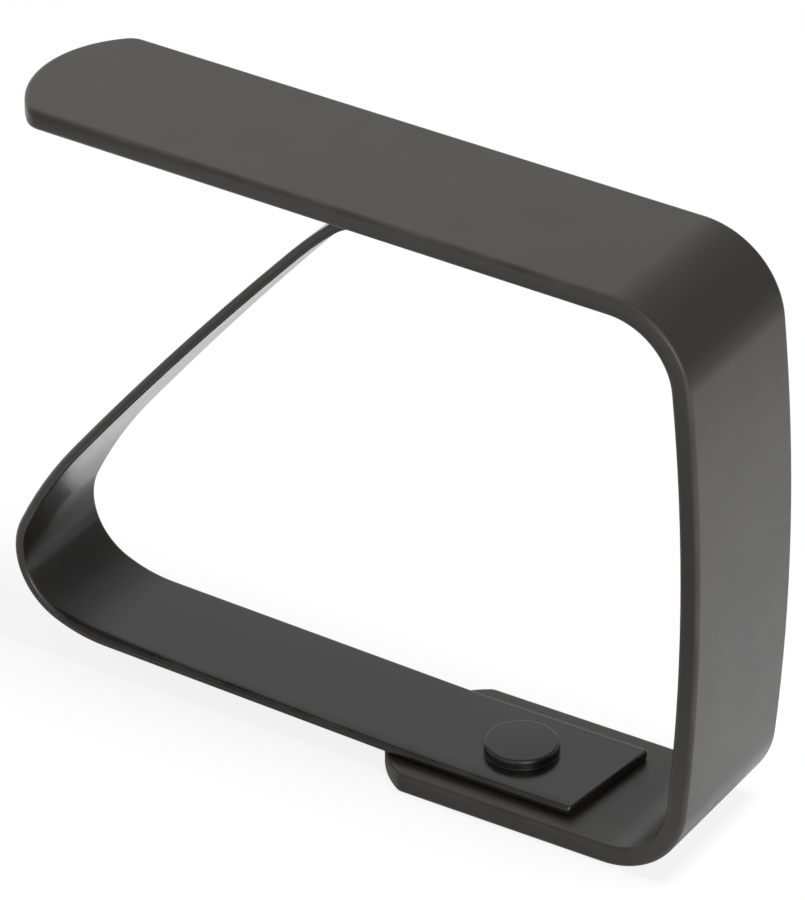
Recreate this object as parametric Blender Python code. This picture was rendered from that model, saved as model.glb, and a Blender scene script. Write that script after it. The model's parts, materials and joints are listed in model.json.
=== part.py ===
"""Tablecloth clip: a bent steel strip that hooks over a table's edge, with a leaf spring riveted inside it.

The mouth opens towards -X, the width runs along Y, and the clip stands on its flange at Z = 0.
The leaf spring is one strip. It is made here in two lengths, hinged in its bow, where it flexes most.
"""

import math

import bmesh
import bpy
from mathutils import Vector

MM = 0.001

# Frame strip: jaw on top, web at the back, flange below
FRAME_WIDTH = 12.0 * MM
FRAME_THICKNESS = 1.4 * MM
FRAME_EDGE_RADIUS = 0.2 * MM
JAW_LENGTH = 44.85 * MM
JAW_RISE = math.radians(1.6)
BEND_RADIUS = 5.3 * MM
WEB_LENGTH = 30.2 * MM
WEB_BOW_RADIUS = 149.0 * MM
WEB_LEAN = math.radians(0.5)
FLANGE_LENGTH = 18.6 * MM
JAW_TIP_BOW = 2.8 * MM
JAW_TIP_CORNER = 1.5 * MM
FLANGE_TIP_BOW = 3.5 * MM
FLANGE_TIP_CORNER = 0.9 * MM
WIDEST_CORNER = 0.45

# Leaf spring strip: foot on the flange, run to the front, bow, arm, neck and lip
SPRING_WIDTH = 8.35 * MM
SPRING_THICKNESS = 0.8 * MM
SPRING_EDGE_RADIUS = 0.28 * MM
FOOT_SETBACK = 2.85 * MM
FOOT_CORNER_RADIUS = 0.5 * MM
RUN_LENGTH = 20.1 * MM
RUN_RISE = math.radians(1.0)
KINK_RADIUS = 20.0 * MM
BOW_LOWER_RADIUS = 10.3 * MM
BOW_LOWER_TURN = math.radians(22.2)
BOW_RADIUS = 4.76 * MM
BOW_TURN = math.radians(93.3)
BOW_UPPER_RADIUS = 36.0 * MM
BOW_UPPER_TURN = math.radians(12.8)
ARM_RADIUS = 359.0 * MM
NECK_RADIUS = 30.0 * MM
NECK_TURN = math.radians(6.9)
CREST_RADIUS = 4.0 * MM
LIP_DROP = math.radians(8.0)
LIP_CORNER_RADIUS = 1.0 * MM

# Rivet: set back from the foot's rear end, flat head on the foot, tail flush in the flange
RIVET_SETBACK = 6.3 * MM
RIVET_HEAD_RADIUS = 2.47 * MM
RIVET_HEAD_THICKNESS = 0.65 * MM
RIVET_HEAD_EDGE = 0.2 * MM
RIVET_SHANK_RADIUS = 1.2 * MM
RIVET_TAIL_RADIUS = 2.0 * MM
RIVET_TAIL_DEPTH = 0.9 * MM

# Gap between pieces that touch
CLEARANCE = 0.3 * MM

# Smoothness
BEND_STEP = math.radians(6.0)
BEND_CHORD = 4.0 * MM
CORNER_STEPS = 4
END_STEPS = 8
EDGE_SEGMENTS = 2
ROUND_STEPS = 32
SHARP_ANGLE = math.radians(30.0)
MERGE_DISTANCE = 0.0001 * MM

FRAME_COLOUR = (0.095, 0.090, 0.086, 1.0)
SPRING_COLOUR = (0.085, 0.082, 0.078, 1.0)
RIVET_COLOUR = (0.080, 0.077, 0.073, 1.0)
ROUGHNESS = 0.42


class Path:
    """A strip's centreline in the XZ plane: straight runs and clockwise bends from a start point."""

    def __init__(self, x, z, heading):
        self.runs = []
        self.length = 0.0
        self.end = (x, z, heading)

    def add(self, length, turn=0.0):
        self.runs.append((self.length, length, turn, self.end))
        self.length += length
        self.end = self.at(self.length)
        return self.length

    def bend(self, radius, turn):
        return self.add(radius * turn, turn)

    def at(self, s):
        """X, Z and heading at distance s along the strip. It runs straight on past either end."""
        start, length, turn, (x, z, heading) = self.runs[0]
        for run in self.runs:
            if run[0] <= s:
                start, length, turn, (x, z, heading) = run
        t = s - start
        if turn == 0.0 or t < 0.0:
            return x + t * math.cos(heading), z + t * math.sin(heading), heading
        curve = turn / length
        after = heading - curve * t
        x += (math.sin(heading) - math.sin(after)) / curve
        z += (math.cos(after) - math.cos(heading)) / curve
        return x, z, after

    def place(self, s, y, out):
        """The point at s along the strip, y across it and out from its middle, on the outer side."""
        x, z, heading = self.at(s)
        return Vector((x - out * math.sin(heading), y, z + out * math.cos(heading)))

    def shift(self, dx, dz):
        self.runs = [(s, n, turn, (x + dx, z + dz, h)) for s, n, turn, (x, z, h) in self.runs]
        self.end = (self.end[0] + dx, self.end[1] + dz, self.end[2])

    def stations(self):
        """Distances that divide the bends into short steps, with each bend's ends."""
        found = []
        for start, length, turn, _ in self.runs:
            steps = max(math.ceil(turn / BEND_STEP), math.ceil(length / BEND_CHORD))
            found += [start + length * i / steps for i in range(steps + 1)] if turn else []
        return sorted({round(s, 9) for s in found if 0.0 < s < self.length})

    def reach(self, out):
        """Lowest and highest X of the strip's outer side."""
        xs = [self.place(s, 0.0, out).x for s in [0.0, *self.stations(), self.length]]
        return min(xs), max(xs)


def frame_path():
    """Jaw tip to flange tip, with the flange's underside at Z = 0 and the jaw's bend at X = 0."""
    bow = WEB_LENGTH / WEB_BOW_RADIUS
    quarter = math.pi / 2
    path = Path(-JAW_LENGTH, 0.0, -JAW_RISE)
    path.add(JAW_LENGTH)
    path.bend(BEND_RADIUS, quarter - WEB_LEAN - bow / 2 - JAW_RISE)
    path.bend(WEB_BOW_RADIUS, bow)
    path.bend(BEND_RADIUS, quarter + WEB_LEAN - bow / 2)
    path.add(FLANGE_LENGTH)
    path.shift(0.0, FRAME_THICKNESS / 2 - path.end[1])
    return path


def arm_turn(path, jaw):
    """How far the arm bends on its way up, so that its crest ends one clearance under the jaw.

    Slopes and heights are taken against the jaw, where a bend of radius r from slope a to slope b
    rises r * (cos b - cos a). The arm ends at slope b, the neck at b - NECK_TURN and the crest at 0.
    """
    x, z, heading = path.end
    jaw_x, jaw_z, jaw_heading = jaw.at(0.0)
    slope = heading - jaw_heading
    across = Vector((jaw_x - x, jaw_z - z)).dot((-math.sin(jaw_heading), math.cos(jaw_heading)))
    rise = across - (FRAME_THICKNESS + SPRING_THICKNESS) / 2 - CLEARANCE
    arm = ARM_RADIUS - NECK_RADIUS
    neck = NECK_RADIUS - CREST_RADIUS
    even = arm + neck * math.cos(NECK_TURN)
    odd = neck * math.sin(NECK_TURN)
    share = (rise - CREST_RADIUS + ARM_RADIUS * math.cos(slope)) / math.hypot(even, odd)
    return slope - math.atan2(odd, even) - math.acos(share), slope


def spring_path(jaw):
    """Foot to lip, and the distance along it to its hinge in the middle of the bow."""
    foot_z = FRAME_THICKNESS + CLEARANCE + SPRING_THICKNESS / 2
    foot_length = FLANGE_LENGTH - FOOT_SETBACK
    path = Path(jaw.end[0] + foot_length, foot_z, math.pi)
    path.add(foot_length)
    path.bend(KINK_RADIUS, RUN_RISE)
    path.add(RUN_LENGTH)
    hinge = path.bend(BOW_LOWER_RADIUS, BOW_LOWER_TURN) + BOW_RADIUS * BOW_TURN / 2
    path.bend(BOW_RADIUS, BOW_TURN)
    path.bend(BOW_UPPER_RADIUS, BOW_UPPER_TURN)
    turn, slope = arm_turn(path, jaw)
    path.bend(ARM_RADIUS, turn)
    path.bend(NECK_RADIUS, NECK_TURN)
    path.bend(CREST_RADIUS, slope - turn - NECK_TURN + LIP_DROP)
    return path, hinge


def arc(centre, radius, first, last, steps):
    """Points on an arc in the flat blank, both ends included."""
    angles = [first + (last - first) * i / steps for i in range(steps + 1)]
    return [(centre[0] + radius * math.cos(a), centre[1] + radius * math.sin(a)) for a in angles]


def rounded_end(width, bow, corner):
    """Half of a strip's bowed end with rounded corners, from its side to its middle, tip at s = 0."""
    radius = (width**2 / 4 + bow**2) / (2 * bow)
    corner = min(corner, WIDEST_CORNER * width)
    side = width / 2 - corner
    lean = math.asin(side / (radius - corner))
    back = (radius - corner) * math.cos(lean)
    rounding = arc((radius - back, side), corner, math.pi / 2, math.pi - lean, CORNER_STEPS)
    bowed = arc((radius, 0.0), radius, math.pi - lean, math.pi, END_STEPS)
    return rounding + bowed[1:]


def square_end(width, radius):
    """Half of a strip's square end, from its side to its middle, with a corner of this radius."""
    side = width / 2 - radius
    return arc((radius, side), radius, math.pi / 2, math.pi, CORNER_STEPS) + [(0.0, 0.0)]


def outline(first_end, last_end, length):
    """The blank's outline: both ends are given as halves and mirrored across the strip's middle."""
    front = first_end + [(s, -y) for s, y in reversed(first_end[:-1])]
    back = [(length - s, y) for s, y in last_end]
    back += [(s, -y) for s, y in reversed(back[:-1])]
    return front + back[::-1]


def blank(points, thickness, edge_radius):
    """A flat strip with this outline, its long edges rounded over."""
    bm = bmesh.new()
    face = bm.faces.new([bm.verts.new((s, y, -thickness / 2)) for s, y in points])
    raised = bmesh.ops.extrude_face_region(bm, geom=[face])["geom"]
    for vert in raised:
        if isinstance(vert, bmesh.types.BMVert):
            vert.co.z += thickness
    bmesh.ops.recalc_face_normals(bm, faces=bm.faces)
    rims = [e for e in bm.edges if abs(e.verts[0].co.z - e.verts[1].co.z) < thickness / 2]
    bmesh.ops.bevel(
        bm, geom=rims, offset=edge_radius, offset_type="OFFSET", segments=EDGE_SEGMENTS,
        profile=0.5, affect="EDGES", clamp_overlap=True,
    )
    return bm


def cut(bm, s, keep_after):
    """Cuts the blank square across at s and closes the cut."""
    along = Vector((1.0, 0.0, 0.0))
    done = bmesh.ops.bisect_plane(
        bm, geom=bm.verts[:] + bm.edges[:] + bm.faces[:], plane_co=along * s, plane_no=along,
        clear_inner=keep_after, clear_outer=not keep_after,
    )
    rim = [e for e in done["geom_cut"] if isinstance(e, bmesh.types.BMEdge)]
    bmesh.ops.edgeloop_fill(bm, edges=rim)
    bmesh.ops.recalc_face_normals(bm, faces=bm.faces)


def fold(bm, path):
    """Bends the flat blank along the path."""
    along = Vector((1.0, 0.0, 0.0))
    for s in path.stations():
        geom = bm.verts[:] + bm.edges[:] + bm.faces[:]
        bmesh.ops.bisect_plane(bm, geom=geom, dist=MERGE_DISTANCE, plane_co=along * s, plane_no=along)
    for vert in bm.verts:
        vert.co = path.place(vert.co.x, vert.co.y, vert.co.z)


def coat(name, colour):
    """Satin coat on steel."""
    material = bpy.data.materials.new(name)
    material.use_nodes = True
    shader = material.node_tree.nodes["Principled BSDF"]
    shader.inputs["Base Color"].default_value = colour
    shader.inputs["Roughness"].default_value = ROUGHNESS
    shader.inputs["Metallic"].default_value = 0.0
    material.diffuse_color = colour
    return material


def add_object(name, bm, material, origin):
    """A named object with its origin at this point, from a mesh in world coordinates."""
    bmesh.ops.translate(bm, verts=bm.verts, vec=-origin)
    mesh = bpy.data.meshes.new(name)
    bm.to_mesh(mesh)
    bm.free()
    mesh.shade_smooth()
    mesh.set_sharp_from_angle(angle=SHARP_ANGLE)
    mesh.materials.append(material)
    obj = bpy.data.objects.new(name, mesh)
    obj.location = origin
    bpy.context.scene.collection.objects.link(obj)
    return obj


def carry(child, parent):
    """Parents a piece and keeps it where it is."""
    child.parent = parent
    child.location -= parent.matrix_world.translation
    bpy.context.view_layer.update()


def turned(profile):
    """A solid turned round Z from a profile of radius and height that starts and ends on the axis."""
    bm = bmesh.new()
    verts = [bm.verts.new((r, 0.0, z)) for r, z in profile]
    edges = [bm.edges.new(pair) for pair in zip(verts, verts[1:])]
    bmesh.ops.spin(
        bm, geom=verts + edges, cent=(0.0, 0.0, 0.0), axis=(0.0, 0.0, 1.0),
        angle=2.0 * math.pi, steps=ROUND_STEPS, use_merge=True,
    )
    bmesh.ops.remove_doubles(bm, verts=bm.verts, dist=MERGE_DISTANCE)
    bmesh.ops.recalc_face_normals(bm, faces=bm.faces)
    return bm


def rivet_solid():
    """Flat head with a rounded rim, shank, and a tail spread into the flange's countersink."""
    seat = FRAME_THICKNESS + SPRING_THICKNESS + 2.0 * CLEARANCE
    top = seat + RIVET_HEAD_THICKNESS
    rim = RIVET_HEAD_RADIUS - RIVET_HEAD_EDGE
    rounding = arc((rim, top - RIVET_HEAD_EDGE), RIVET_HEAD_EDGE, math.pi / 2, 0.0, CORNER_STEPS)
    return turned([
        (0.0, top),
        *rounding,
        (RIVET_HEAD_RADIUS, seat),
        (RIVET_SHANK_RADIUS, seat),
        (RIVET_SHANK_RADIUS, RIVET_TAIL_DEPTH),
        (RIVET_TAIL_RADIUS, 0.0),
        (0.0, 0.0),
    ])


def bore_solid():
    """What the rivet's hole and countersink take out of the strips, one clearance wider than the rivet."""
    flare = (RIVET_TAIL_RADIUS - RIVET_SHANK_RADIUS) / RIVET_TAIL_DEPTH
    past = FRAME_THICKNESS
    top = FRAME_THICKNESS + SPRING_THICKNESS + 2.0 * CLEARANCE
    bore = RIVET_SHANK_RADIUS + CLEARANCE
    return turned([
        (0.0, top),
        (bore, top),
        (bore, RIVET_TAIL_DEPTH),
        (RIVET_TAIL_RADIUS + CLEARANCE + flare * past, -past),
        (0.0, -past),
    ])


def drill(obj, bore):
    """Takes the rivet's hole out of a strip."""
    hole = obj.modifiers.new("rivet_hole", "BOOLEAN")
    hole.operation = "DIFFERENCE"
    hole.solver = "EXACT"
    hole.object = bore


def main():
    for obj in list(bpy.data.objects):
        bpy.data.objects.remove(obj, do_unlink=True)

    jaw = frame_path()
    leaf, hinge = spring_path(jaw)
    front = min(jaw.reach(FRAME_THICKNESS / 2)[0], leaf.reach(SPRING_THICKNESS / 2)[0])
    back = jaw.reach(FRAME_THICKNESS / 2)[1]
    middle = -(front + back) / 2
    jaw.shift(middle, 0.0)
    leaf.shift(middle, 0.0)
    rivet_at = Vector((leaf.at(RIVET_SETBACK)[0], 0.0, 0.0))

    bore = add_object("rivet_bore", bore_solid(), coat("bore", RIVET_COLOUR), Vector())
    bore.location = rivet_at
    bore.hide_render = True
    bore.display_type = "WIRE"

    jaw_tip = rounded_end(FRAME_WIDTH, JAW_TIP_BOW, JAW_TIP_CORNER)
    flange_tip = rounded_end(FRAME_WIDTH, FLANGE_TIP_BOW, FLANGE_TIP_CORNER)
    strip = blank(outline(jaw_tip, flange_tip, jaw.length), FRAME_THICKNESS, FRAME_EDGE_RADIUS)
    fold(strip, jaw)
    frame = add_object("clip_frame", strip, coat("frame_coat", FRAME_COLOUR), Vector())
    drill(frame, bore)

    rivet = add_object("rivet", rivet_solid(), coat("rivet_coat", RIVET_COLOUR), Vector())
    rivet.location = rivet_at
    carry(rivet, frame)

    spring_coat = coat("spring_coat", SPRING_COLOUR)
    rear = square_end(SPRING_WIDTH, FOOT_CORNER_RADIUS)
    lip = square_end(SPRING_WIDTH, LIP_CORNER_RADIUS)
    points = outline(rear, lip, leaf.length)

    strip = blank(points, SPRING_THICKNESS, SPRING_EDGE_RADIUS)
    cut(strip, hinge - CLEARANCE / 2, keep_after=False)
    fold(strip, leaf)
    base = add_object("spring_base", strip, spring_coat, Vector())
    drill(base, bore)
    carry(base, frame)

    strip = blank(points, SPRING_THICKNESS, SPRING_EDGE_RADIUS)
    cut(strip, hinge + CLEARANCE / 2, keep_after=True)
    fold(strip, leaf)
    arm = add_object("spring_arm", strip, spring_coat, leaf.place(hinge, 0.0, 0.0))
    carry(arm, base)


main()
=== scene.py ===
"""Tablecloth clip: a bent steel strip with a leaf spring riveted inside it, both in a satin dark coat.

Lengths are in metres. The mouth opens towards -X, the width runs along Y and the clip stands on Z = 0.
"""

import json
import math

import bmesh
import bpy
from bpy.props import FloatProperty, FloatVectorProperty, PointerProperty
from mathutils import Matrix, Vector

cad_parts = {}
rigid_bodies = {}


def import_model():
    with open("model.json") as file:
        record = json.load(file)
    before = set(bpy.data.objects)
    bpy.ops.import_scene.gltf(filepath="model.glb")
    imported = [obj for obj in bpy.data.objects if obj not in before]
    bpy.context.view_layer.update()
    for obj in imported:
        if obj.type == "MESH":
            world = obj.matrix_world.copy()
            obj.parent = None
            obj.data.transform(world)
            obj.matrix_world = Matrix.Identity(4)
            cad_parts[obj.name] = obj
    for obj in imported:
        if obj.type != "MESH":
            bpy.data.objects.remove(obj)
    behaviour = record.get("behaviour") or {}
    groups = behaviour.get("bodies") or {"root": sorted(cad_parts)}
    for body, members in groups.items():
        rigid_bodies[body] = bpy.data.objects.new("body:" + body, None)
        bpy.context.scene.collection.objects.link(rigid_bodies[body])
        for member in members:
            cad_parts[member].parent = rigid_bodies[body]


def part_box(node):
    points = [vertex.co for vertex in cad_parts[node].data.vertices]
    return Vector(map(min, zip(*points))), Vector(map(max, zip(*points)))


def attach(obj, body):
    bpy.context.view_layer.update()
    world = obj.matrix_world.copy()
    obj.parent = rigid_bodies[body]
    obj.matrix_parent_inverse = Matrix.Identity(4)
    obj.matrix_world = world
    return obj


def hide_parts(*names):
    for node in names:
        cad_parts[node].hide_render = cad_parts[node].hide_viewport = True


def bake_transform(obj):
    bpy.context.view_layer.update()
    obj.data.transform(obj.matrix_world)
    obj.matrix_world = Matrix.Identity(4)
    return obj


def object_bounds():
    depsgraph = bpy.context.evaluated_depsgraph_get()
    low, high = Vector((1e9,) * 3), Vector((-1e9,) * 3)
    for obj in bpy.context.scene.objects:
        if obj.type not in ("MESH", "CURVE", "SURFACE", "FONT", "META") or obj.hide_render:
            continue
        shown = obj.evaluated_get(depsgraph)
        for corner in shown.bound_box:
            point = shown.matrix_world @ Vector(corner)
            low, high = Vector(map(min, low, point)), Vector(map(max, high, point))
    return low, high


bl_info = {
    "name": "Tablecloth Clip",
    "version": (1, 0, 0),
    "blender": (4, 5, 0),
    "location": "View3D > Sidebar > Clip",
    "description": "Builds a tablecloth clip from two bent strips and a rivet, with its stage",
    "category": "Add Mesh",
}

for leftover in list(bpy.data.objects):
    bpy.data.objects.remove(leftover, do_unlink=True)

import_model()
CAD_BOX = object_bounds()
FRAME_LOW, FRAME_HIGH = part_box("clip_frame")
RIVET_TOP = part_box("rivet")[1].z

MM = 0.001

# How finely the meshes are made
BEND_STEP = math.radians(2.5)
BEND_CHORD = 2.0 * MM
CORNER_STEPS = 12
TIP_STEPS = 24
EDGE_STEPS = 6
EASE_STEPS = 6
ROUND_STEPS = 96
CROWN_STEPS = (0.0, 0.25, 0.5, 0.75)
CROWN_REACH = 0.9
EDGE_SUPPORT = 0.06 * MM
CUT_TOLERANCE = 1e-7
HOLE_OVERSHOOT = 1.0 * MM
HOLE_SHARP_ANGLE = math.radians(35.0)
RIVET_SHARP_ANGLE = math.radians(40.0)

# How the coat varies: the noises' detail and roughness, and the range that each mix takes
NOISE_MIDDLE = (0.3, 0.7)
GRAIN_NOISE = (2.0, 0.5)
CLOUD_NOISE = (3.0, 0.55)
WEAR_RANGE = (0.05, 0.7)
CLOUD_TINT = (0.94, 1.06)
CLOUD_ROUGHNESS = (1.05, 0.95)
GRAIN_ROUGHNESS = (0.96, 1.04)
TAIL_RUBBING = 0.5

# Stage
UP = (0.0, 0.0, 1.0)
FLOOR_SIDE = 4.0
FLOOR_GAP = 0.05 * MM
CARD_ASPECT = 1.8
SENSOR_WIDTH = 36.0
CLIP_START = 0.01
CLIP_END = 20.0


def size(name, description, default):
    return FloatProperty(
        name=name, description=description, default=default, min=0.0, precision=5,
        subtype="DISTANCE", unit="LENGTH",
    )


def angle(name, description, degrees):
    return FloatProperty(
        name=name, description=description, default=math.radians(degrees), precision=3,
        subtype="ANGLE", unit="ROTATION",
    )


def shift(name, description, default):
    return FloatProperty(
        name=name, description=description, default=default, precision=5, subtype="DISTANCE", unit="LENGTH"
    )


def place(name, description, millimetres):
    return FloatVectorProperty(
        name=name, description=description, default=[v * MM for v in millimetres], size=3, precision=5,
        subtype="TRANSLATION", unit="LENGTH",
    )


def spread_size(name, description, millimetres):
    return FloatVectorProperty(
        name=name, description=description, default=[v * MM for v in millimetres], size=2, precision=5,
        subtype="XYZ_LENGTH", unit="LENGTH",
    )


def factor(name, description, default):
    return FloatProperty(
        name=name, description=description, default=default, min=0.0, max=1.0, subtype="FACTOR"
    )


def level(name, description, default):
    return FloatProperty(name=name, description=description, default=default, min=0.0)


def colour(name, description, default):
    return FloatVectorProperty(
        name=name, description=description, default=default, min=0.0, max=1.0, subtype="COLOR"
    )


class FrameStripSettings(bpy.types.PropertyGroup):
    """Sizes of the strip that is bent into jaw, web and flange."""

    width: size("Width", "Width of the strip", FRAME_HIGH.y - FRAME_LOW.y)
    thickness: size("Thickness", "Thickness of the strip", 1.38 * MM)
    edge_radius: size("Edge Radius", "Rounding of the strip's long edges", 0.32 * MM)
    jaw_length: size("Jaw Length", "Straight length of the jaw on top", 44.85 * MM)
    jaw_rise: angle("Jaw Rise", "How far the jaw rises towards its tip", 1.6)
    bend_radius: size("Bend Radius", "Radius of both bends, at the strip's middle", 5.3 * MM)
    web_length: size("Web Length", "Length of the web at the back", 30.2 * MM)
    web_bow_radius: size("Web Bow Radius", "Radius to which the web is bowed outwards", 149.0 * MM)
    web_lean: angle("Web Lean", "How far the web leans back at its foot", 0.5)
    flange_length: size("Flange Length", "Straight length of the flange below", 18.6 * MM)
    jaw_tip_bow: size("Jaw Tip Bow", "How far the jaw's tip stands out at the middle", 2.8 * MM)
    jaw_tip_corner: size("Jaw Tip Corner", "Radius of the corners of the jaw's tip", 1.5 * MM)
    flange_tip_bow: size("Flange Tip Bow", "How far the flange's tip stands out at the middle", 3.5 * MM)
    flange_tip_corner: size("Flange Tip Corner", "Radius of the corners of the flange's tip", 0.9 * MM)


class LeafSpringSettings(bpy.types.PropertyGroup):
    """Sizes of the leaf spring, from its foot on the flange to its lip under the jaw."""

    width: size("Width", "Width of the leaf", 8.530 * MM)
    thickness: size("Thickness", "Thickness of the leaf", 0.70 * MM)
    edge_radius: size("Edge Radius", "Rounding of the leaf's long edges", 0.28 * MM)
    slit_width: size("Slit Width", "Width of the rounding that the cutter left along one side", 0.85 * MM)
    slit_ease: size("Slit Ease", "Length in which that rounding comes up at the foot", 2.5 * MM)
    slit_full: size("Slit Full", "Distance along the leaf at which that rounding starts to fade", 34.0 * MM)
    slit_gone: size("Slit Gone", "Distance along the leaf at which that rounding is gone", 46.0 * MM)
    sheared_edge: size("Sheared Edge", "Rounding of the leaf's cut ends", 0.1 * MM)
    side_offset: shift("Side Offset", "How far off the middle the leaf is riveted", -0.16 * MM)
    seat_gap: size("Seat Gap", "Gap under the foot and between the crest and the jaw", 0.02 * MM)
    foot_setback: size("Foot Setback", "From the start of the flange to the foot's rear end", 2.75 * MM)
    foot_corner: size("Foot Corner", "Radius of the foot's rear corners", 0.35 * MM)
    foot_skew: angle("Foot Skew", "How far the foot's rear end is cut out of square", 6.5)
    foot_length: size("Foot Length", "Length of the foot on the flange", 11.85 * MM)
    kink_radius: size("Kink Radius", "Radius where the run leaves the flange", 20.0 * MM)
    run_length: size("Run Length", "Straight length of the run", 23.92 * MM)
    run_rise: angle("Run Rise", "How far the run rises towards the bow", 1.78)
    bow_lower_radius: size("Lower Bow Radius", "Radius at the start of the bow", 10.3 * MM)
    bow_lower_turn: angle("Lower Bow Turn", "Turn at the start of the bow", 21.42)
    bow_radius: size("Bow Radius", "Radius in the middle of the bow", 4.76 * MM)
    bow_turn: angle("Bow Turn", "Turn in the middle of the bow", 93.3)
    bow_upper_radius: size("Upper Bow Radius", "Radius at the end of the bow", 36.0 * MM)
    bow_upper_turn: angle("Upper Bow Turn", "Turn at the end of the bow", 12.8)
    arm_radius: size("Arm Radius", "Radius of the slightly curved arm", 359.0 * MM)
    neck_radius: size("Neck Radius", "Radius between arm and crest", 30.0 * MM)
    neck_turn: angle("Neck Turn", "Turn between arm and crest", 6.9)
    crest_radius: size("Crest Radius", "Radius of the crest that touches the jaw", 4.0 * MM)
    lip_drop: angle("Lip Drop", "How far the lip turns down behind the crest", 8.0)
    lip_corner: size("Lip Corner", "Radius of the lip's corners", 1.0 * MM)
    flex_start: size("Flex Start", "Height at which the leaf starts to flex", 3.0 * MM)
    flex_end: size("Flex End", "Height above which the arm swings as a whole", 9.5 * MM)


class RivetSettings(bpy.types.PropertyGroup):
    """Sizes of the rivet."""

    setback: size("Setback", "From the foot's rear end to the rivet", 6.49 * MM)
    side_offset: shift("Side Offset", "How far off the middle the rivet sits", -0.25 * MM)
    head_radius: size("Head Radius", "Radius of the head", 2.47 * MM)
    head_thickness: size("Head Thickness", "Thickness of the head at its rim", 0.70 * MM)
    head_crown: size("Head Crown", "Rise of the head from its rim to its middle", 0.06 * MM)
    head_edge: size("Head Edge", "Rounding of the head's rim", 0.22 * MM)
    head_fillet: size("Head Fillet", "Coat gathered in the corner round the head", 0.05 * MM)
    shank_radius: size("Shank Radius", "Radius of the shank", 1.2 * MM)
    tail_radius: size("Tail Radius", "Radius of the tail in the flange's underside", 2.0 * MM)
    tail_depth: size("Tail Depth", "Depth of the tail's countersink", 0.9 * MM)
    tail_edge: size("Tail Edge", "Bevel round the tail", 0.08 * MM)
    bore_gap: size("Bore Gap", "Gap between the rivet and its hole", 0.03 * MM)


class CoatSettings(bpy.types.PropertyGroup):
    """Colours and surface of the satin coat."""

    frame_colour: colour("Frame Colour", "Coat on the bent strip", (0.0170, 0.0147, 0.0130))
    leaf_colour: colour("Leaf Colour", "Coat on the leaf spring", (0.0126, 0.0109, 0.0098))
    rivet_colour: colour("Rivet Colour", "Coat on the rivet", (0.0086, 0.0079, 0.0073))
    rubbed_colour: colour("Rubbed Colour", "Coat where edges are rubbed by handling", (0.05, 0.048, 0.046))
    frame_roughness: factor("Frame Roughness", "Roughness of the coat on the bent strip", 0.33)
    leaf_roughness: factor("Leaf Roughness", "Roughness of the coat on the leaf spring", 0.22)
    rivet_roughness: factor("Rivet Roughness", "Roughness of the coat on the rivet", 0.30)
    refraction: level("Refraction", "Index of refraction of the coat", 1.53)
    grain_size: size("Grain Size", "Size of the coat's fine grain", 0.16 * MM)
    grain_depth: size("Grain Depth", "Depth of the coat's fine grain", 0.0025 * MM)
    cloud_size: size("Cloud Size", "Size of the faint clouds in the coat", 3.5 * MM)


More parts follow.
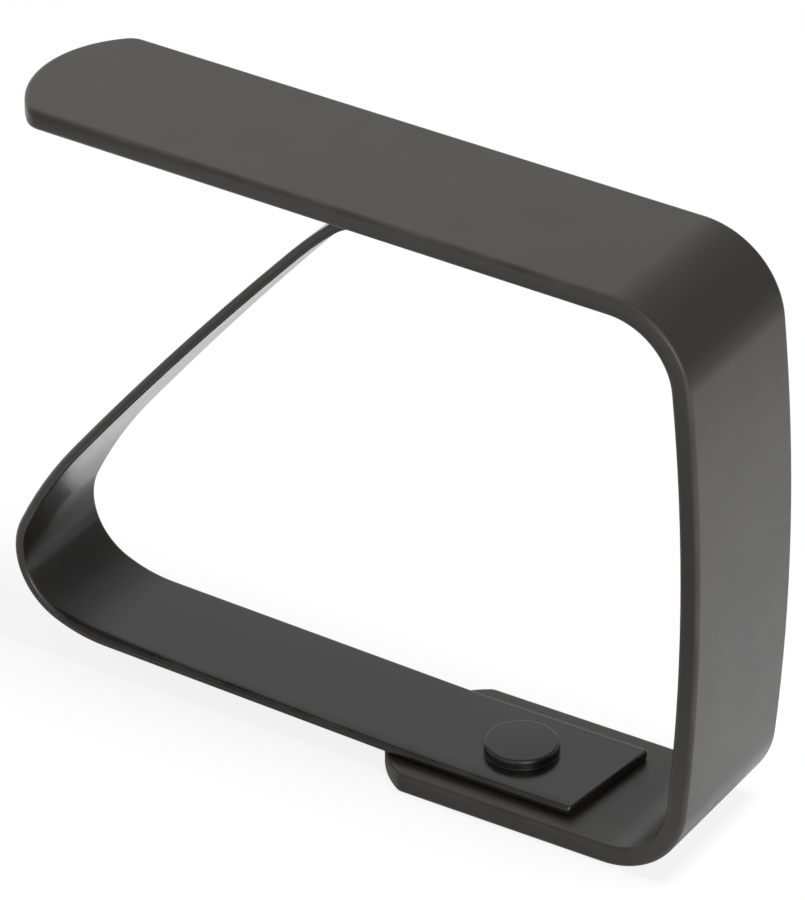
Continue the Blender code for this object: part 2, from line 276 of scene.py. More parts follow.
class StageSettings(bpy.types.PropertyGroup):
    """Floor, light and camera."""

    floor_colour: colour("Floor Colour", "Plain pale floor", (0.95, 0.95, 0.95))
    floor_white: factor("Floor White", "Share of plain white in what the camera sees of the floor", 0.86)
    floor_shine: factor("Floor Shine", "Share of plain white in what reflections show of the floor", 0.25)
    room_level: level("Room Level", "Strength of the even light of the room", 0.35)
    room_shine: factor("Room Shine", "Share of plain white in what reflections show of the room", 0.82)
    lamp_power: level("Lamp Power", "Power of the lamp above, in watts", 1.6)
    lamp_size: size("Lamp Size", "Side of the soft lamp above", 115.0 * MM)
    lamp_place: place("Lamp Place", "Middle of the lamp above", (115.0, 5.0, 410.0))
    edge_lamp_power: level("Edge Lamp Power", "Power of the lamp that lights the edges, in watts", 0.22)
    edge_lamp_size: size("Edge Lamp Size", "Side of the small lamp", 140.0 * MM)
    edge_lamp_place: place("Edge Lamp Place", "Middle of the small lamp", (228.0, -224.0, 116.0))
    card_shade: factor("Card Shade", "Colour of the dark cards", 0.02)
    # Soft dark cards behind and in front of the clip that only reflections show: painted dark reflections
    # in the coat, such as the dark band across the upper bend
    back_card_density: factor("Back Card Density", "How much the card behind covers at its middle", 0.72)
    back_card_size: size("Back Card Size", "Width of the card behind over its soft edges", 1140.0 * MM)
    back_card_place: place("Back Card Place", "Middle of the card behind", (198.0, 205.0, 100.0))
    front_card_density: factor("Front Card Density", "How much the card in front covers at its middle", 0.6)
    front_card_size: size("Front Card Size", "Width of the card in front over its soft edges", 1000.0 * MM)
    front_card_place: place("Front Card Place", "Middle of the card in front", (-200.0, -300.0, 350.0))
    # Soft dark patches on the floor that only reflections show: painted shade on the floor under, in front
    # of, behind and beyond the clip
    under_patch_density: factor("Under Patch Density", "How much the patch under the clip covers", 0.9)
    under_patch_size: spread_size("Under Patch Size", "Length and width of that patch", (60.0, 33.0))
    under_patch_place: place("Under Patch Place", "Middle of the patch under the clip", (-8.0, 5.5, 0.02))
    near_patch_density: factor("Near Patch Density", "How much the patch in front of the clip covers", 0.7)
    near_patch_size: spread_size("Near Patch Size", "Length and width of that patch", (150.0, 110.0))
    near_patch_place: place("Near Patch Place", "Middle of the patch in front", (0.0, -38.0, 0.03))
    far_patch_density: factor("Far Patch Density", "How much the patch behind the clip covers", 0.95)
    far_patch_size: spread_size("Far Patch Size", "Length and width of that patch", (60.0, 88.0))
    far_patch_place: place("Far Patch Place", "Middle of the patch behind", (4.0, 44.0, 0.04))
    rear_patch_density: factor("Rear Patch Density", "How much the patch beyond the web covers", 0.8)
    rear_patch_size: spread_size("Rear Patch Size", "Length and width of that patch", (220.0, 220.0))
    rear_patch_place: place("Rear Patch Place", "Middle of the patch beyond the web", (130.0, 122.0, 0.05))
    # Soft dark card in the air in front of the leaf that only reflections show: painted shade on the near
    # edges of the leaf and the rivet's head
    low_card_density: factor("Low Card Density", "How much the low card in front of the leaf covers", 0.9)
    low_card_size: spread_size("Low Card Size", "Length and width of that card", (64.0, 44.0))
    low_card_place: place("Low Card Place", "Middle of the low card", (-36.0, -27.0, 36.0))
    azimuth: angle("Camera Azimuth", "Turn of the camera round the clip", 32.178)
    elevation: angle("Camera Elevation", "Height of the camera above the horizon", 30.913)
    roll: angle("Camera Roll", "Turn of the picture", 0.4077)
    distance: size("Camera Distance", "From the camera to the point it looks at", 340.21 * MM)
    aim: place("Aim", "Point that the camera looks at", (9.830, -13.277, 31.047))
    lens: FloatProperty(
        name="Lens", description="Focal length in millimetres", default=225.77, min=1.0,
        subtype="DISTANCE_CAMERA",
    )


class Centreline:
    """A strip's middle in the XZ plane: straight lengths and clockwise bends from a start point."""

    def __init__(self, x, z, heading):
        self.runs = []
        self.length = 0.0
        self.end = (x, z, heading)

    def add(self, length, turn=0.0):
        self.runs.append((self.length, length, turn, self.end))
        self.length += length
        self.end = self.at(self.length)

    def bend(self, radius, turn):
        self.add(radius * turn, turn)

    def at(self, s):
        """X, Z and heading at distance s along the strip."""
        start, length, turn, (x, z, heading) = self.runs[0]
        for run in self.runs:
            if run[0] <= s:
                start, length, turn, (x, z, heading) = run
        t = s - start
        if turn == 0.0 or t < 0.0:
            return x + t * math.cos(heading), z + t * math.sin(heading), heading
        curve = turn / length
        after = heading - curve * t
        x += (math.sin(heading) - math.sin(after)) / curve
        z += (math.cos(after) - math.cos(heading)) / curve
        return x, z, after

    def place(self, s, y, out):
        """The point at s along the strip, y across it and out from its middle, on the outer side."""
        x, z, heading = self.at(s)
        return Vector((x - out * math.sin(heading), y, z + out * math.cos(heading)))

    def shift(self, dx, dz):
        self.runs = [(s, n, turn, (x + dx, z + dz, h)) for s, n, turn, (x, z, h) in self.runs]
        self.end = (self.end[0] + dx, self.end[1] + dz, self.end[2])

    def stations(self):
        """Distances that divide the bends into short steps."""
        found = []
        for start, length, turn, _ in self.runs:
            steps = max(math.ceil(turn / BEND_STEP), math.ceil(length / BEND_CHORD))
            found += [start + length * i / steps for i in range(steps + 1)] if turn else []
        return sorted({round(s, 9) for s in found if 0.0 < s < self.length})


def frame_line(strip):
    """Jaw tip to flange tip, standing on the floor with its back where the solid has it."""
    bow = strip.web_length / strip.web_bow_radius
    quarter = math.pi / 2
    line = Centreline(0.0, 0.0, -strip.jaw_rise)
    line.add(strip.jaw_length)
    line.bend(strip.bend_radius, quarter - strip.web_lean - bow / 2 - strip.jaw_rise)
    line.bend(strip.web_bow_radius, bow)
    line.bend(strip.bend_radius, quarter + strip.web_lean - bow / 2)
    line.add(strip.flange_length)
    back = max(line.place(s, 0.0, strip.thickness / 2).x for s in line.stations())
    line.shift(FRAME_HIGH.x - back, strip.thickness / 2 - line.end[1])
    return line


def arm_turn(line, leaf, jaw, strip):
    """How far the arm bends on its way up, so that its crest just touches the jaw, and its first slope.

    Slopes and heights are taken against the jaw, where a bend of radius r from slope a to slope b
    rises r * (cos b - cos a). The arm ends at slope b, the neck at b - neck_turn and the crest at 0.
    """
    x, z, heading = line.end
    jaw_x, jaw_z, jaw_heading = jaw.at(0.0)
    slope = heading - jaw_heading
    across = Vector((jaw_x - x, jaw_z - z)).dot((-math.sin(jaw_heading), math.cos(jaw_heading)))
    rise = across - (strip.thickness + leaf.thickness) / 2 - leaf.seat_gap
    arm = leaf.arm_radius - leaf.neck_radius
    neck = leaf.neck_radius - leaf.crest_radius
    even = arm + neck * math.cos(leaf.neck_turn)
    odd = neck * math.sin(leaf.neck_turn)
    share = (rise - leaf.crest_radius + leaf.arm_radius * math.cos(slope)) / math.hypot(even, odd)
    return slope - math.atan2(odd, even) - math.acos(share), slope


def leaf_line(leaf, jaw, strip):
    """Foot to lip."""
    rear = jaw.end[0] + strip.flange_length - leaf.foot_setback
    line = Centreline(rear, strip.thickness + leaf.seat_gap + leaf.thickness / 2, math.pi)
    line.add(leaf.foot_length)
    line.bend(leaf.kink_radius, leaf.run_rise)
    line.add(leaf.run_length)
    line.bend(leaf.bow_lower_radius, leaf.bow_lower_turn)
    line.bend(leaf.bow_radius, leaf.bow_turn)
    line.bend(leaf.bow_upper_radius, leaf.bow_upper_turn)
    turn, slope = arm_turn(line, leaf, jaw, strip)
    line.bend(leaf.arm_radius, turn)
    line.bend(leaf.neck_radius, leaf.neck_turn)
    line.bend(leaf.crest_radius, slope - turn - leaf.neck_turn + leaf.lip_drop)
    return line


def arc(centre, radius, first, last, steps):
    """Points of an arc with the directions that face away from its centre."""
    found = []
    for i in range(steps + 1):
        a = first + (last - first) * i / steps
        c, s = math.cos(a), math.sin(a)
        found.append((centre[0] + radius * c, centre[1] + radius * s, c, s))
    return found


def bowed_tip(width, bow, corner):
    """Half of a bowed end with rounded corners, from the strip's side to its middle, tip at s = 0."""
    radius = (width**2 / 4 + bow**2) / (2 * bow)
    side = width / 2 - corner
    lean = math.asin(side / (radius - corner))
    back = (radius - corner) * math.cos(lean)
    rounded = arc((radius - back, side), corner, math.pi / 2, math.pi - lean, CORNER_STEPS)
    return rounded + arc((radius, 0.0), radius, math.pi - lean, math.pi, TIP_STEPS)[1:]


def square_tip(width, corner):
    """Half of a square end, from the strip's side to its middle, tip at s = 0."""
    rounded = arc((corner, width / 2 - corner), corner, math.pi / 2, math.pi, CORNER_STEPS)
    return rounded + [(0.0, 0.0, -1.0, 0.0)]


def outline(first, last, length, skew=0.0):
    """The flat blank's outline with its outward directions, from both ends' halves, the first skewed."""
    front = first + [(s, -y, ds, -dy) for s, y, ds, dy in reversed(first[:-1])]
    front = [(s - y * math.tan(skew), y, ds, dy) for s, y, ds, dy in front]
    back = [(length - s, y, -ds, dy) for s, y, ds, dy in last]
    back += [(s, -y, ds, -dy) for s, y, ds, dy in reversed(back[:-1])]
    return front + back[::-1]


def quarter_turn():
    """Angles of the steps round a rounded edge."""
    return [math.pi / 2 * i / EDGE_STEPS for i in range(EDGE_STEPS + 1)]


def edge_profile(thickness, radius):
    """Steps from the upper to the lower face round a strip's edge: inset, height and rubbing."""
    upper = [(radius + EDGE_SUPPORT, thickness / 2, 0.0)]
    upper += [
        (radius * (1 - math.sin(a)), thickness / 2 - radius * (1 - math.cos(a)), math.sin(2 * a))
        for a in quarter_turn()
    ]
    return upper + [(inset, -height, rubbing) for inset, height, rubbing in reversed(upper)]


def with_stops(points, stops):
    """Adds points to the long sides, where a slit edge changes its width."""
    found = []
    for first, last in zip(points, points[1:] + points[:1]):
        found.append(first)
        low, high = sorted((first[0], last[0]))
        if high - low > stops[-1] - stops[0]:
            between = [s for s in stops if low < s < high]
            found += [(s, *first[1:]) for s in (between if first[0] < last[0] else reversed(between))]
    return found


def flat_blank(points, thickness, radius, slit=None, sheared=0.0):
    """A flat strip with rounded edges, as a bmesh with the layers that the coat reads.

    A slit strip has a wider rounding, drawn down by the cutter, on one side of each face. Its slit gives
    that width, the length in which it comes up, and the distances where it starts to fade and is gone.
    A sheared strip has sharper ends.
    """
    bm = bmesh.new()
    rubbed = bm.verts.layers.float.new("rubbed")
    flat = bm.verts.layers.float_vector.new("flat")
    if slit:
        slit_width, ease, full, gone = slit
        low = min(point[0] for point in points)
        shares = [i / EASE_STEPS for i in range(EASE_STEPS + 1)]
        stops = [low + ease * share for share in shares]
        points = with_stops(points, stops + [full + (gone - full) * share for share in shares])

    def widening(s, ds, dy, height):
        wide = 1.0
        if sheared:
            wide += (sheared / radius - 1) * abs(ds)
        if slit:
            share = max(0.0, min((s - low) / ease, (gone - s) / (gone - full), 1.0))
            share *= share * (3 - 2 * share)
            wide += (slit_width / radius - 1) * share * max(0.0, dy if height > 0 else -dy)
        return wide

    rows = []
    for inset, height, rubbing in edge_profile(thickness, radius):
        row = []
        for s, y, ds, dy in points:
            drawn_in = inset * widening(s, ds, dy, height)
            row.append(bm.verts.new((s - drawn_in * ds, y - drawn_in * dy, height)))
        for vert in row:
            vert[rubbed] = rubbing
            vert[flat] = vert.co
        rows.append(row)
    for upper, lower in zip(rows, rows[1:]):
        for i in range(len(points)):
            bm.faces.new((upper[i - 1], lower[i - 1], lower[i], upper[i]))
    bm.faces.new(rows[0])
    bm.faces.new(rows[-1][::-1])
    bmesh.ops.recalc_face_normals(bm, faces=bm.faces)
    return bm


def fold(bm, line):
    """Bends the flat blank along its centreline."""
    along = Vector((1.0, 0.0, 0.0))
    for s in line.stations():
        geom = bm.verts[:] + bm.edges[:] + bm.faces[:]
        bmesh.ops.bisect_plane(bm, geom=geom, dist=CUT_TOLERANCE, plane_co=along * s, plane_no=along)
    for vert in bm.verts:
        vert.co = line.place(*vert.co)


def turned(profile):
    """A solid turned round Z from steps of radius, height and rubbing, with the coat's layers."""
    bm = bmesh.new()
    rubbed = bm.verts.layers.float.new("rubbed")
    flat = bm.verts.layers.float_vector.new("flat")
    rings = []
    for radius, height, rubbing in profile:
        steps = ROUND_STEPS if radius > 0.0 else 1
        ring = []
        for i in range(steps):
            a = 2 * math.pi * i / steps
            vert = bm.verts.new((radius * math.cos(a), radius * math.sin(a), height))
            vert[rubbed] = rubbing
            vert[flat] = vert.co
            ring.append(vert)
        rings.append(ring)
    for upper, lower in zip(rings, rings[1:]):
        for i in range(ROUND_STEPS):
            corners = [upper[(i - 1) % len(upper)], lower[(i - 1) % len(lower)]]
            corners += [lower[i % len(lower)], upper[i % len(upper)]]
            bm.faces.new(list(dict.fromkeys(corners)))
    bmesh.ops.recalc_face_normals(bm, faces=bm.faces)
    return bm


def add_piece(name, bm, material):
    """A named object from a bmesh in world coordinates."""
    mesh = bpy.data.meshes.new(name)
    bm.to_mesh(mesh)
    bm.free()
    mesh.shade_smooth()
    mesh.materials.append(material)
    obj = bpy.data.objects.new(name, mesh)
    bpy.context.scene.collection.objects.link(obj)
    return obj


def drill(obj, axis_point):
    """Takes the rivet's hole and countersink out of a strip."""
    rivet = bpy.context.scene.clip_rivet
    bore = rivet.shank_radius + rivet.bore_gap
    flare = (rivet.tail_radius - rivet.shank_radius) / rivet.tail_depth
    below = -HOLE_OVERSHOOT
    bm = turned([
        (0.0, RIVET_TOP, 0.0),
        (bore, RIVET_TOP, 0.0),
        (bore, rivet.tail_depth, 0.0),
        (rivet.tail_radius + rivet.bore_gap - flare * below, below, 0.0),
        (0.0, below, 0.0),
    ])
    bmesh.ops.translate(bm, verts=bm.verts, vec=axis_point)
    tool = add_piece("rivet_hole_tool", bm, obj.data.materials[0])
    hole = obj.modifiers.new("rivet_hole", "BOOLEAN")
    hole.operation = "DIFFERENCE"
    hole.solver = "EXACT"
    hole.object = tool
    bpy.context.view_layer.update()
    graph = bpy.context.evaluated_depsgraph_get()
    drilled = bpy.data.meshes.new_from_object(obj.evaluated_get(graph))
    obj.modifiers.clear()
    old = obj.data
    obj.data = drilled
    bpy.data.meshes.remove(old)
    bpy.data.objects.remove(tool, do_unlink=True)
    drilled.set_sharp_from_angle(angle=HOLE_SHARP_ANGLE)


def wire(tree, start, end):
    """Links two sockets of a node tree."""
    tree.links.new(start, end)


def coat_group():
    """Shader group of the satin coat: fine grain, faint clouds and rubbed edges."""
    found = bpy.data.node_groups.get("satin_coat")
    if found:
        return found
    tree = bpy.data.node_groups.new("satin_coat", "ShaderNodeTree")
    for name, kind in (
        ("Colour", "NodeSocketColor"), ("Rubbed Colour", "NodeSocketColor"),
        ("Roughness", "NodeSocketFloat"), ("Grain Size", "NodeSocketFloat"),
        ("Cloud Size", "NodeSocketFloat"),
    ):
        tree.interface.new_socket(name=name, in_out="INPUT", socket_type=kind)
    for name, kind in (
        ("Colour", "NodeSocketColor"), ("Roughness", "NodeSocketFloat"), ("Height", "NodeSocketFloat"),
    ):
        tree.interface.new_socket(name=name, in_out="OUTPUT", socket_type=kind)
    nodes = tree.nodes
    given = nodes.new("NodeGroupInput")
    out = nodes.new("NodeGroupOutput")
    flat = nodes.new("ShaderNodeAttribute")
    flat.attribute_name = "flat"
    rubbed = nodes.new("ShaderNodeAttribute")
    rubbed.attribute_name = "rubbed"

    def noise(of_size, detail, roughness):
        scale = nodes.new("ShaderNodeMath")
        scale.operation = "DIVIDE"
        scale.inputs[0].default_value = 1.0
        wire(tree, of_size, scale.inputs[1])
        texture = nodes.new("ShaderNodeTexNoise")
        texture.inputs["Detail"].default_value = detail
        texture.inputs["Roughness"].default_value = roughness
        wire(tree, flat.outputs["Vector"], texture.inputs["Vector"])
        wire(tree, scale.outputs[0], texture.inputs["Scale"])
        return texture.outputs["Fac"]

    def spread(value, low, high):
        """Maps the middle of a noise to the range low to high."""
        mapped = nodes.new("ShaderNodeMapRange")
        ends = ("From Min", "From Max", "To Min", "To Max")
        for socket, number in zip(ends, (*NOISE_MIDDLE, low, high)):
            mapped.inputs[socket].default_value = number
        wire(tree, value, mapped.inputs["Value"])
        return mapped.outputs["Result"]

    def math_node(operation, first, second):
        node = nodes.new("ShaderNodeMath")
        node.operation = operation
        wire(tree, first, node.inputs[0])
        wire(tree, second, node.inputs[1])
        return node.outputs[0]

    grain = noise(given.outputs["Grain Size"], *GRAIN_NOISE)
    clouds = noise(given.outputs["Cloud Size"], *CLOUD_NOISE)

    wear = math_node("MULTIPLY", rubbed.outputs["Fac"], spread(clouds, *WEAR_RANGE))
    shade = nodes.new("ShaderNodeMix")
    shade.data_type = "RGBA"
    wire(tree, wear, shade.inputs["Factor"])
    wire(tree, given.outputs["Colour"], shade.inputs["A"])
    wire(tree, given.outputs["Rubbed Colour"], shade.inputs["B"])
    tint = nodes.new("ShaderNodeHueSaturation")
    wire(tree, spread(clouds, *CLOUD_TINT), tint.inputs["Value"])
    wire(tree, shade.outputs["Result"], tint.inputs["Color"])
    wire(tree, tint.outputs["Color"], out.inputs["Colour"])

    uneven = math_node("MULTIPLY", given.outputs["Roughness"], spread(clouds, *CLOUD_ROUGHNESS))
    speck = math_node("MULTIPLY", uneven, spread(grain, *GRAIN_ROUGHNESS))
    wire(tree, speck, out.inputs["Roughness"])
    wire(tree, grain, out.inputs["Height"])
    return tree


def coat(name, tone, roughness):
    """Satin dark coat on steel."""
    settings = bpy.context.scene.clip_coat
    material = bpy.data.materials.new(name)
    material.use_nodes = True
    tree = material.node_tree
    shader = tree.nodes["Principled BSDF"]
    surface = tree.nodes.new("ShaderNodeGroup")
    surface.node_tree = coat_group()
    surface.inputs["Colour"].default_value = (*tone, 1.0)
    surface.inputs["Rubbed Colour"].default_value = (*settings.rubbed_colour, 1.0)
    surface.inputs["Roughness"].default_value = roughness
    surface.inputs["Grain Size"].default_value = settings.grain_size
    surface.inputs["Cloud Size"].default_value = settings.cloud_size
    shader.inputs["IOR"].default_value = settings.refraction
    bump = tree.nodes.new("ShaderNodeBump")
    bump.inputs["Strength"].default_value = 1.0
    bump.inputs["Distance"].default_value = settings.grain_depth
    wire(tree, surface.outputs["Colour"], shader.inputs["Base Color"])
    wire(tree, surface.outputs["Roughness"], shader.inputs["Roughness"])
    wire(tree, surface.outputs["Height"], bump.inputs["Height"])
    wire(tree, bump.outputs["Normal"], shader.inputs["Normal"])
    material.diffuse_color = (*tone, 1.0)
    return material


def rivet_place():
    """The rivet's axis on the floor."""
    scene = bpy.context.scene
    jaw = frame_line(scene.clip_strip)
    line = leaf_line(scene.clip_leaf, jaw, scene.clip_strip)
    return Vector((line.at(scene.clip_rivet.setback)[0], scene.clip_rivet.side_offset, 0.0))


class CLIP_OT_frame_strip(bpy.types.Operator):
    """Make the strip that is bent into jaw, web and flange"""

    bl_idname = "clip.frame_strip"
    bl_label = "Frame Strip"

    def execute(self, context):
        strip, coats = context.scene.clip_strip, context.scene.clip_coat
        line = frame_line(strip)
        jaw_tip = bowed_tip(strip.width, strip.jaw_tip_bow, strip.jaw_tip_corner)
        flange_tip = bowed_tip(strip.width, strip.flange_tip_bow, strip.flange_tip_corner)
        bm = flat_blank(outline(jaw_tip, flange_tip, line.length), strip.thickness, strip.edge_radius)
        fold(bm, line)
        finish = coat("frame_coat", coats.frame_colour, coats.frame_roughness)
        obj = add_piece("frame_strip", bm, finish)
        drill(obj, rivet_place())
        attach(obj, "frame")
        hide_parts("clip_frame")
        return {"FINISHED"}


class CLIP_OT_leaf_spring(bpy.types.Operator):
    """Make the leaf spring as one strip, bent from its foot to its lip"""

    bl_idname = "clip.leaf_spring"
    bl_label = "Leaf Spring"

    def execute(self, context):
        leaf, coats = context.scene.clip_leaf, context.scene.clip_coat
        line = leaf_line(leaf, frame_line(context.scene.clip_strip), context.scene.clip_strip)
        foot = square_tip(leaf.width, leaf.foot_corner)
        lip = square_tip(leaf.width, leaf.lip_corner)
        points = outline(foot, lip, line.length, leaf.foot_skew)
        slit = (leaf.slit_width, leaf.slit_ease, leaf.slit_full, leaf.slit_gone)
        bm = flat_blank(points, leaf.thickness, leaf.edge_radius, slit, leaf.sheared_edge)
        fold(bm, line)
        bmesh.ops.translate(bm, verts=bm.verts, vec=(0.0, leaf.side_offset, 0.0))
        finish = coat("spring_coat", coats.leaf_colour, coats.leaf_roughness)
        obj = add_piece("leaf_spring", bm, finish)
        drill(obj, rivet_place())
        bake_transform(obj)
        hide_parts("spring_base", "spring_arm")
        return {"FINISHED"}


class CLIP_OT_rivet(bpy.types.Operator):
    """Make the rivet that holds the leaf spring's foot to the flange"""

    bl_idname = "clip.rivet"
    bl_label = "Rivet"

    def execute(self, context):
        rivet, coats = context.scene.clip_rivet, context.scene.clip_coat
        strip, leaf = context.scene.clip_strip, context.scene.clip_leaf
        seat = strip.thickness + leaf.thickness + 2 * leaf.seat_gap
        rim = seat + rivet.head_thickness
        edge, corner = rivet.head_edge, rivet.head_fillet
        crown = [
            (rivet.head_radius * t * CROWN_REACH, rim + rivet.head_crown * (1 - t * t), 0.0)
            for t in CROWN_STEPS
        ]
        rounding = [
            (rivet.head_radius - edge * (1 - math.sin(a)), rim - edge * (1 - math.cos(a)), math.sin(2 * a))
            for a in quarter_turn()
        ]
        fillet = [
            (rivet.head_radius + corner * (1 - math.cos(a)), seat + corner * (1 - math.sin(a)), 0.0)
            for a in quarter_turn()
        ]
        bm = turned([
            *crown,
            (rivet.head_radius - edge - EDGE_SUPPORT, rim, 0.0),
            *rounding,
            *fillet,
            (rivet.shank_radius, seat, 0.0),
            (rivet.shank_radius, rivet.tail_depth, 0.0),
            (rivet.tail_radius, rivet.tail_edge, TAIL_RUBBING),
            (rivet.tail_radius - rivet.tail_edge, 0.0, TAIL_RUBBING),
            (rivet.tail_radius - rivet.tail_edge - EDGE_SUPPORT, 0.0, 0.0),
            (0.0, 0.0, 0.0),
        ])
        bmesh.ops.translate(bm, verts=bm.verts, vec=rivet_place())
        finish = coat("rivet_coat", coats.rivet_colour, coats.rivet_roughness)
        obj = add_piece("rivet_pin", bm, finish)
        obj.data.set_sharp_from_angle(angle=RIVET_SHARP_ANGLE)
        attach(obj, "frame")
        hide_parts("rivet")
        return {"FINISHED"}


def white_mask(tree, seen, reflected):
    """How white the surroundings look to the camera and in reflections, and 0 for plain light."""
    path = tree.nodes.new("ShaderNodeLightPath")
    mask = None
    shares = (("Is Camera Ray", seen), ("Is Transmission Ray", seen), ("Is Glossy Ray", reflected))
    for name, share in shares:
        part = tree.nodes.new("ShaderNodeMath")
        part.operation = "MULTIPLY_ADD"
        part.inputs[1].default_value = share
        part.inputs[2].default_value = 0.0
        wire(tree, path.outputs[name], part.inputs[0])
        if mask:
            wire(tree, mask, part.inputs[2])
        part.use_clamp = True
        mask = part.outputs[0]
    return mask


def floor_material(stage):
    """Pale floor that looks white, keeps a soft shadow and can be seen through from below."""
    material = bpy.data.materials.new("pale_floor")
    material.use_nodes = True
    tree = material.node_tree
    tree.nodes.clear()
    out = tree.nodes.new("ShaderNodeOutputMaterial")
    matt = tree.nodes.new("ShaderNodeBsdfDiffuse")
    matt.inputs["Color"].default_value = (*stage.floor_colour, 1.0)
    white = tree.nodes.new("ShaderNodeEmission")
    mix = tree.nodes.new("ShaderNodeMixShader")
    wire(tree, white_mask(tree, stage.floor_white, stage.floor_shine), mix.inputs["Fac"])
    wire(tree, matt.outputs["BSDF"], mix.inputs[1])
    wire(tree, white.outputs["Emission"], mix.inputs[2])
    facing = tree.nodes.new("ShaderNodeNewGeometry")
    clear = tree.nodes.new("ShaderNodeBsdfTransparent")
    sided = tree.nodes.new("ShaderNodeMixShader")
    wire(tree, facing.outputs["Backfacing"], sided.inputs["Fac"])
    wire(tree, mix.outputs["Shader"], sided.inputs[1])
    wire(tree, clear.outputs["BSDF"], sided.inputs[2])
    wire(tree, sided.outputs["Shader"], out.inputs["Surface"])
    return material


def card_material(name, shade, density, width, height):
    """Dark card that fades out towards its edges."""
    material = bpy.data.materials.new(name)
    material.use_nodes = True
    tree = material.node_tree
    tree.nodes.clear()
    out = tree.nodes.new("ShaderNodeOutputMaterial")
    where = tree.nodes.new("ShaderNodeTexCoord")
    scaled = tree.nodes.new("ShaderNodeMapping")
    scaled.inputs["Scale"].default_value = (2 / width, 2 / height, 1.0)
    middle = tree.nodes.new("ShaderNodeTexGradient")
    middle.gradient_type = "SPHERICAL"
    fade = tree.nodes.new("ShaderNodeMapRange")
    fade.interpolation_type = "SMOOTHSTEP"
    fade.inputs["To Max"].default_value = density
    dark = tree.nodes.new("ShaderNodeBsdfDiffuse")
    dark.inputs["Color"].default_value = (shade, shade, shade, 1.0)
    clear = tree.nodes.new("ShaderNodeBsdfTransparent")
    mix = tree.nodes.new("ShaderNodeMixShader")
    wire(tree, where.outputs["Object"], scaled.inputs["Vector"])
    wire(tree, scaled.outputs["Vector"], middle.inputs["Vector"])
    wire(tree, middle.outputs["Fac"], fade.inputs["Value"])
    wire(tree, fade.outputs["Result"], mix.inputs["Fac"])
    wire(tree, clear.outputs["BSDF"], mix.inputs[1])
    wire(tree, dark.outputs["BSDF"], mix.inputs[2])
    wire(tree, mix.outputs["Shader"], out.inputs["Surface"])
    return material


def hang_card(name, middle, facing, shade, density, width, height):
    """A soft dark card that only reflections show; it paints shade into what the surfaces reflect."""
    card = panel(name, middle, facing, width, height, card_material(name, shade, density, width, height))
    card.visible_camera = False
    card.visible_diffuse = False
    card.visible_shadow = False


def panel(name, centre, facing, width, height, material):
    """A flat rectangle that faces a direction."""
    mesh = bpy.data.meshes.new(name)
    x, y = width / 2, height / 2
    corners = [(-x, -y, 0.0), (x, -y, 0.0), (x, y, 0.0), (-x, y, 0.0)]
    mesh.from_pydata(corners, [], [(0, 1, 2, 3)])
    mesh.materials.append(material)
    obj = bpy.data.objects.new(name, mesh)
    obj.rotation_euler = Vector(facing).to_track_quat("Z", "Y").to_euler()
    obj.location = centre
    bpy.context.scene.collection.objects.link(obj)
    return obj


def light_room(stage):
    """Even light from all round, with a white background for the camera and for reflections."""
    world = bpy.data.worlds.new("room")
    world.use_nodes = True
    bpy.context.scene.world = world
    tree = world.node_tree
    tree.nodes.clear()
    out = tree.nodes.new("ShaderNodeOutputWorld")
    even = tree.nodes.new("ShaderNodeBackground")
    even.inputs["Strength"].default_value = stage.room_level
    even.inputs["Color"].default_value = (1.0, 1.0, 1.0, 1.0)
    white = tree.nodes.new("ShaderNodeBackground")
    white.inputs["Color"].default_value = (1.0, 1.0, 1.0, 1.0)
    mix = tree.nodes.new("ShaderNodeMixShader")
    wire(tree, white_mask(tree, 1.0, stage.room_shine), mix.inputs["Fac"])
    wire(tree, even.outputs["Background"], mix.inputs[1])
    wire(tree, white.outputs["Background"], mix.inputs[2])
    wire(tree, mix.outputs["Shader"], out.inputs["Surface"])


def hang_lamp(name, middle, side, power):
    """A soft lamp that points at the clip's middle."""
    data = bpy.data.lights.new(name, "AREA")
    data.shape = "SQUARE"
    data.size = side
    data.energy = power
    lamp = bpy.data.objects.new(name, data)
    lamp.location = middle
    clip = Vector((0.0, 0.0, (CAD_BOX[0][2] + CAD_BOX[1][2]) / 2))
    lamp.rotation_euler = (lamp.location - clip).to_track_quat("Z", "Y").to_euler()
    bpy.context.scene.collection.objects.link(lamp)
    return lamp


def set_camera(stage):
    """The camera at the photograph's angle."""
    a, e = stage.azimuth, stage.elevation
    side = Vector((math.cos(a), math.sin(a), 0.0))
    rise = Vector((-math.sin(a) * math.sin(e), math.cos(a) * math.sin(e), math.cos(e)))
    c, s = math.cos(stage.roll), math.sin(stage.roll)
    right = side * c - rise * s
    up = side * s + rise * c
    back = right.cross(up)
    data = bpy.data.cameras.new("camera")
    data.lens = stage.lens
    data.sensor_width = SENSOR_WIDTH
    data.clip_start = CLIP_START
    data.clip_end = CLIP_END
    camera = bpy.data.objects.new("camera", data)
    eye = Vector(stage.aim) + back * stage.distance
    turn = Matrix((right, up, back)).transposed().to_4x4()
    camera.matrix_world = Matrix.Translation(eye) @ turn
    bpy.context.scene.collection.objects.link(camera)
    bpy.context.scene.camera = camera


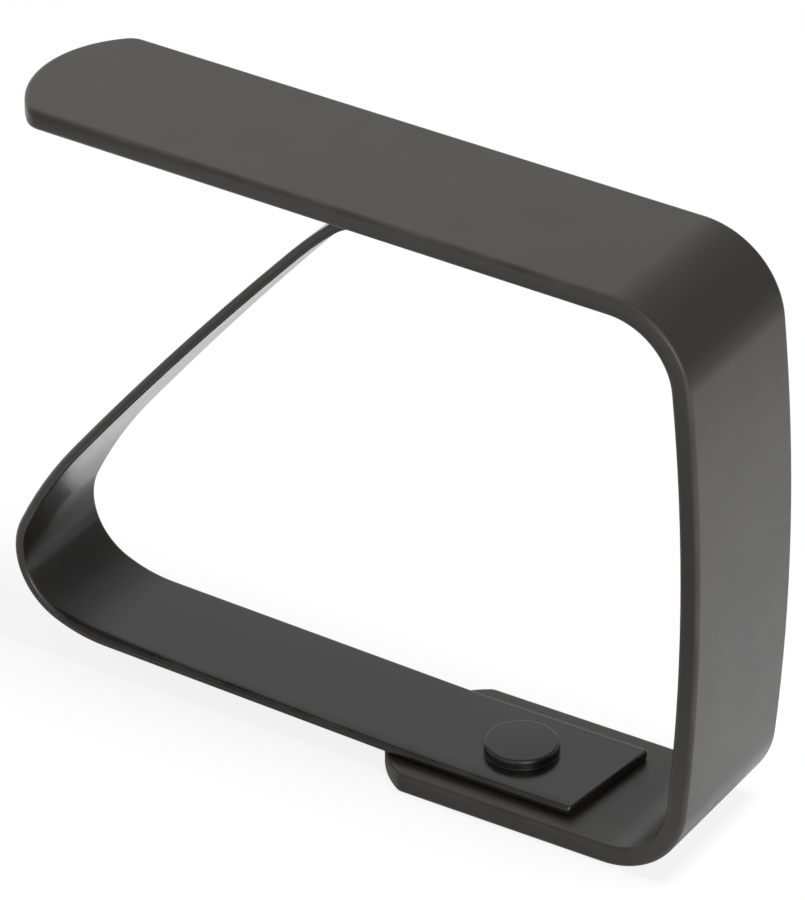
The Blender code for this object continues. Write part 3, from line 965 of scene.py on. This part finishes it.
class CLIP_OT_stage(bpy.types.Operator):
    """Make the floor, the light and the camera"""

    bl_idname = "clip.stage"
    bl_label = "Stage"

    def execute(self, context):
        stage = context.scene.clip_stage
        panel("floor", (0.0, 0.0, -FLOOR_GAP), UP, FLOOR_SIDE, FLOOR_SIDE, floor_material(stage))
        shade = stage.card_shade
        # Painted shade that only reflections show: dark cards far behind and in front of the clip
        for name in ("back_card", "front_card"):
            middle = Vector(getattr(stage, name + "_place"))
            density = getattr(stage, name + "_density")
            width = getattr(stage, name + "_size")
            hang_card(name, middle, -middle, shade, density, width, CARD_ASPECT * width)
        # Painted shade that only reflections show: dark patches on the floor round the clip, and a low dark
        # card in front of the leaf
        for name in ("under_patch", "near_patch", "far_patch", "rear_patch", "low_card"):
            middle = getattr(stage, name + "_place")
            density = getattr(stage, name + "_density")
            hang_card(name, middle, UP, shade, density, *getattr(stage, name + "_size"))
        light_room(stage)
        above = hang_lamp("soft_lamp", stage.lamp_place, stage.lamp_size, stage.lamp_power)
        above.visible_glossy = False
        hang_lamp("edge_lamp", stage.edge_lamp_place, stage.edge_lamp_size, stage.edge_lamp_power)
        set_camera(stage)
        context.scene.view_settings.view_transform = "Standard"
        return {"FINISHED"}


class CLIP_PT_sidebar(bpy.types.Panel):
    """Buttons that build the clip, with the sizes and colours they use"""

    bl_label = "Tablecloth Clip"
    bl_idname = "CLIP_PT_sidebar"
    bl_space_type = "VIEW_3D"
    bl_region_type = "UI"
    bl_category = "Clip"

    def draw(self, context):
        for operator, settings in STEPS:
            box = self.layout.box()
            box.operator(operator)
            for name in settings:
                group = getattr(context.scene, name)
                for prop in group.__annotations__:
                    box.prop(group, prop)


STEPS = (
    ("clip.frame_strip", ("clip_strip", "clip_coat")),
    ("clip.leaf_spring", ("clip_leaf",)),
    ("clip.rivet", ("clip_rivet",)),
    ("clip.stage", ("clip_stage",)),
)
SETTINGS = {
    "clip_strip": FrameStripSettings,
    "clip_leaf": LeafSpringSettings,
    "clip_rivet": RivetSettings,
    "clip_coat": CoatSettings,
    "clip_stage": StageSettings,
}
TOOLS = (CLIP_OT_frame_strip, CLIP_OT_leaf_spring, CLIP_OT_rivet, CLIP_OT_stage, CLIP_PT_sidebar)


def register():
    for group in SETTINGS.values():
        bpy.utils.register_class(group)
    for name, group in SETTINGS.items():
        setattr(bpy.types.Scene, name, PointerProperty(type=group))
    for tool in TOOLS:
        bpy.utils.register_class(tool)


def unregister():
    for tool in reversed(TOOLS):
        bpy.utils.unregister_class(tool)
    for name, group in SETTINGS.items():
        delattr(bpy.types.Scene, name)
        bpy.utils.unregister_class(group)


def main():
    register()
    bpy.ops.clip.frame_strip()
    bpy.ops.clip.leaf_spring()
    bpy.ops.clip.rivet()
    bpy.ops.clip.stage()
    bpy.context.view_layer.update()


if __name__ == "__main__":
    main()
